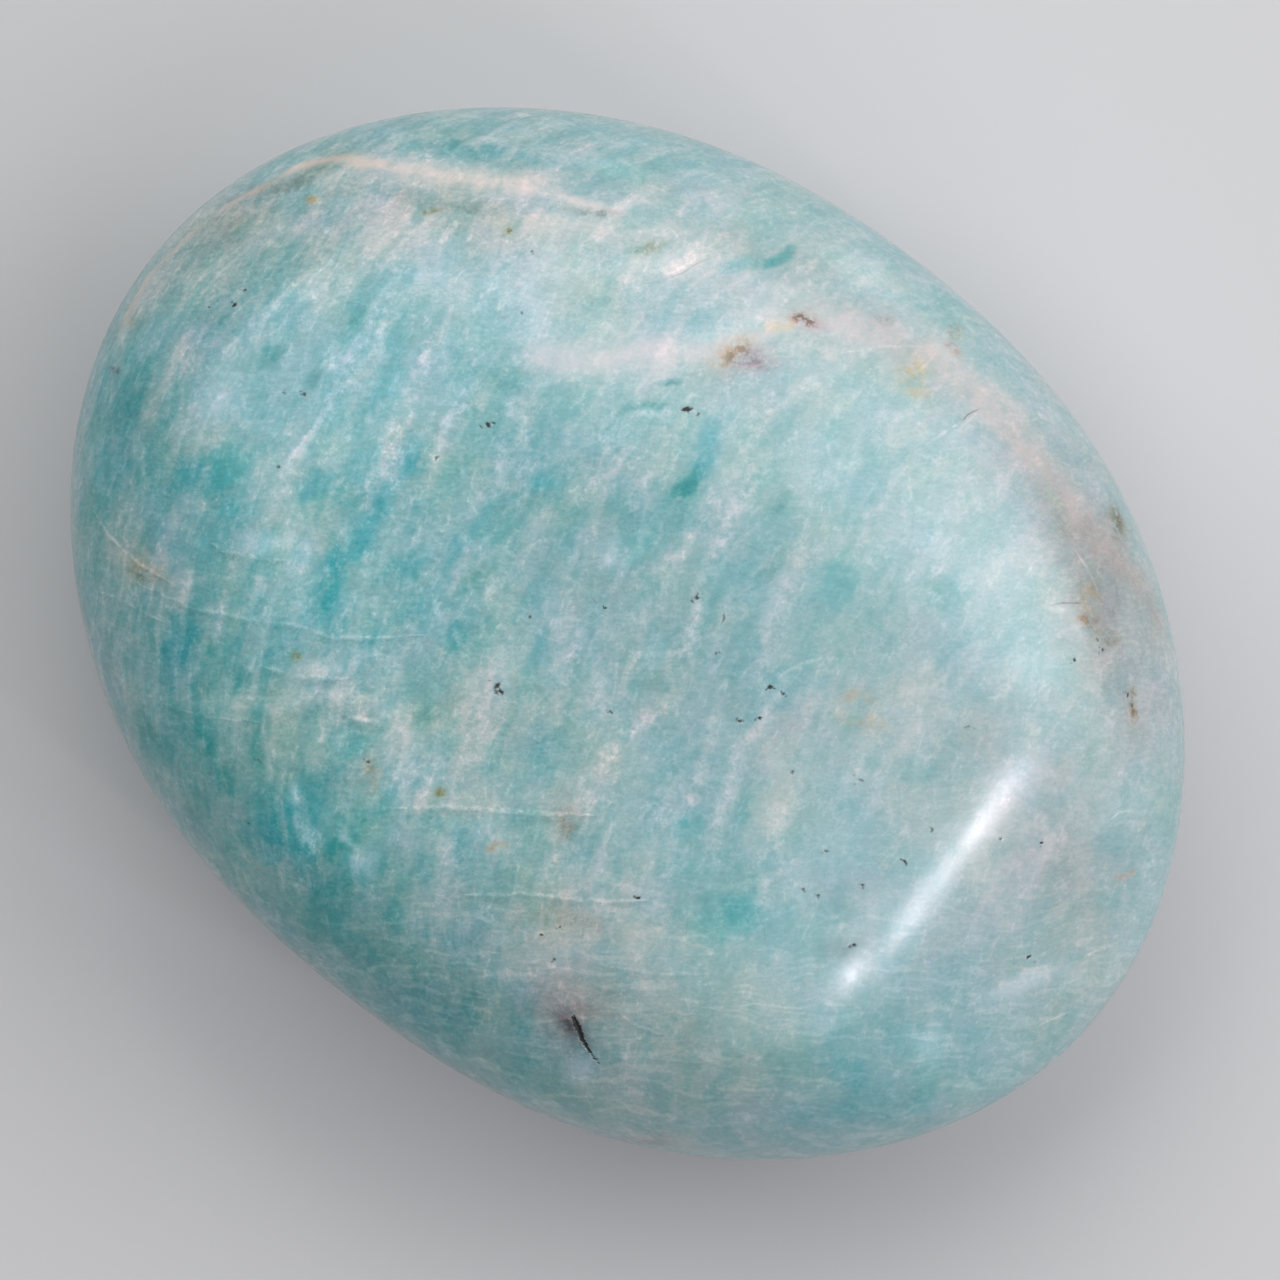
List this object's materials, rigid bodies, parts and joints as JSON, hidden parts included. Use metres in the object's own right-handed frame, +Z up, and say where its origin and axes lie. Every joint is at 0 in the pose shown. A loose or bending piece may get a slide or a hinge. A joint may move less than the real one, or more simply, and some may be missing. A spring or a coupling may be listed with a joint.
{
  "type": "polished amazonite palm stone",
  "caption": "Smooth oval palm stone of polished blue-green amazonite with pale streaks, domed on top, sloped at one end and resting on a small flat spot.",
  "frame": {"origin": "middle of the stone's rectangle, at the height of the surface it rests on", "axes": "+Z up, out of the domed top; +X along the longest extent, towards the end with the long slope; +Y across the stone"},
  "size_m": [0.07, 0.0538, 0.028],
  "materials": {
    "amazonite": "polished blue-green feldspar with pale streaks"
  },
  "bodies": {
    "root": {"amazonite_stone": "amazonite"}
  },
  "joints": []
}
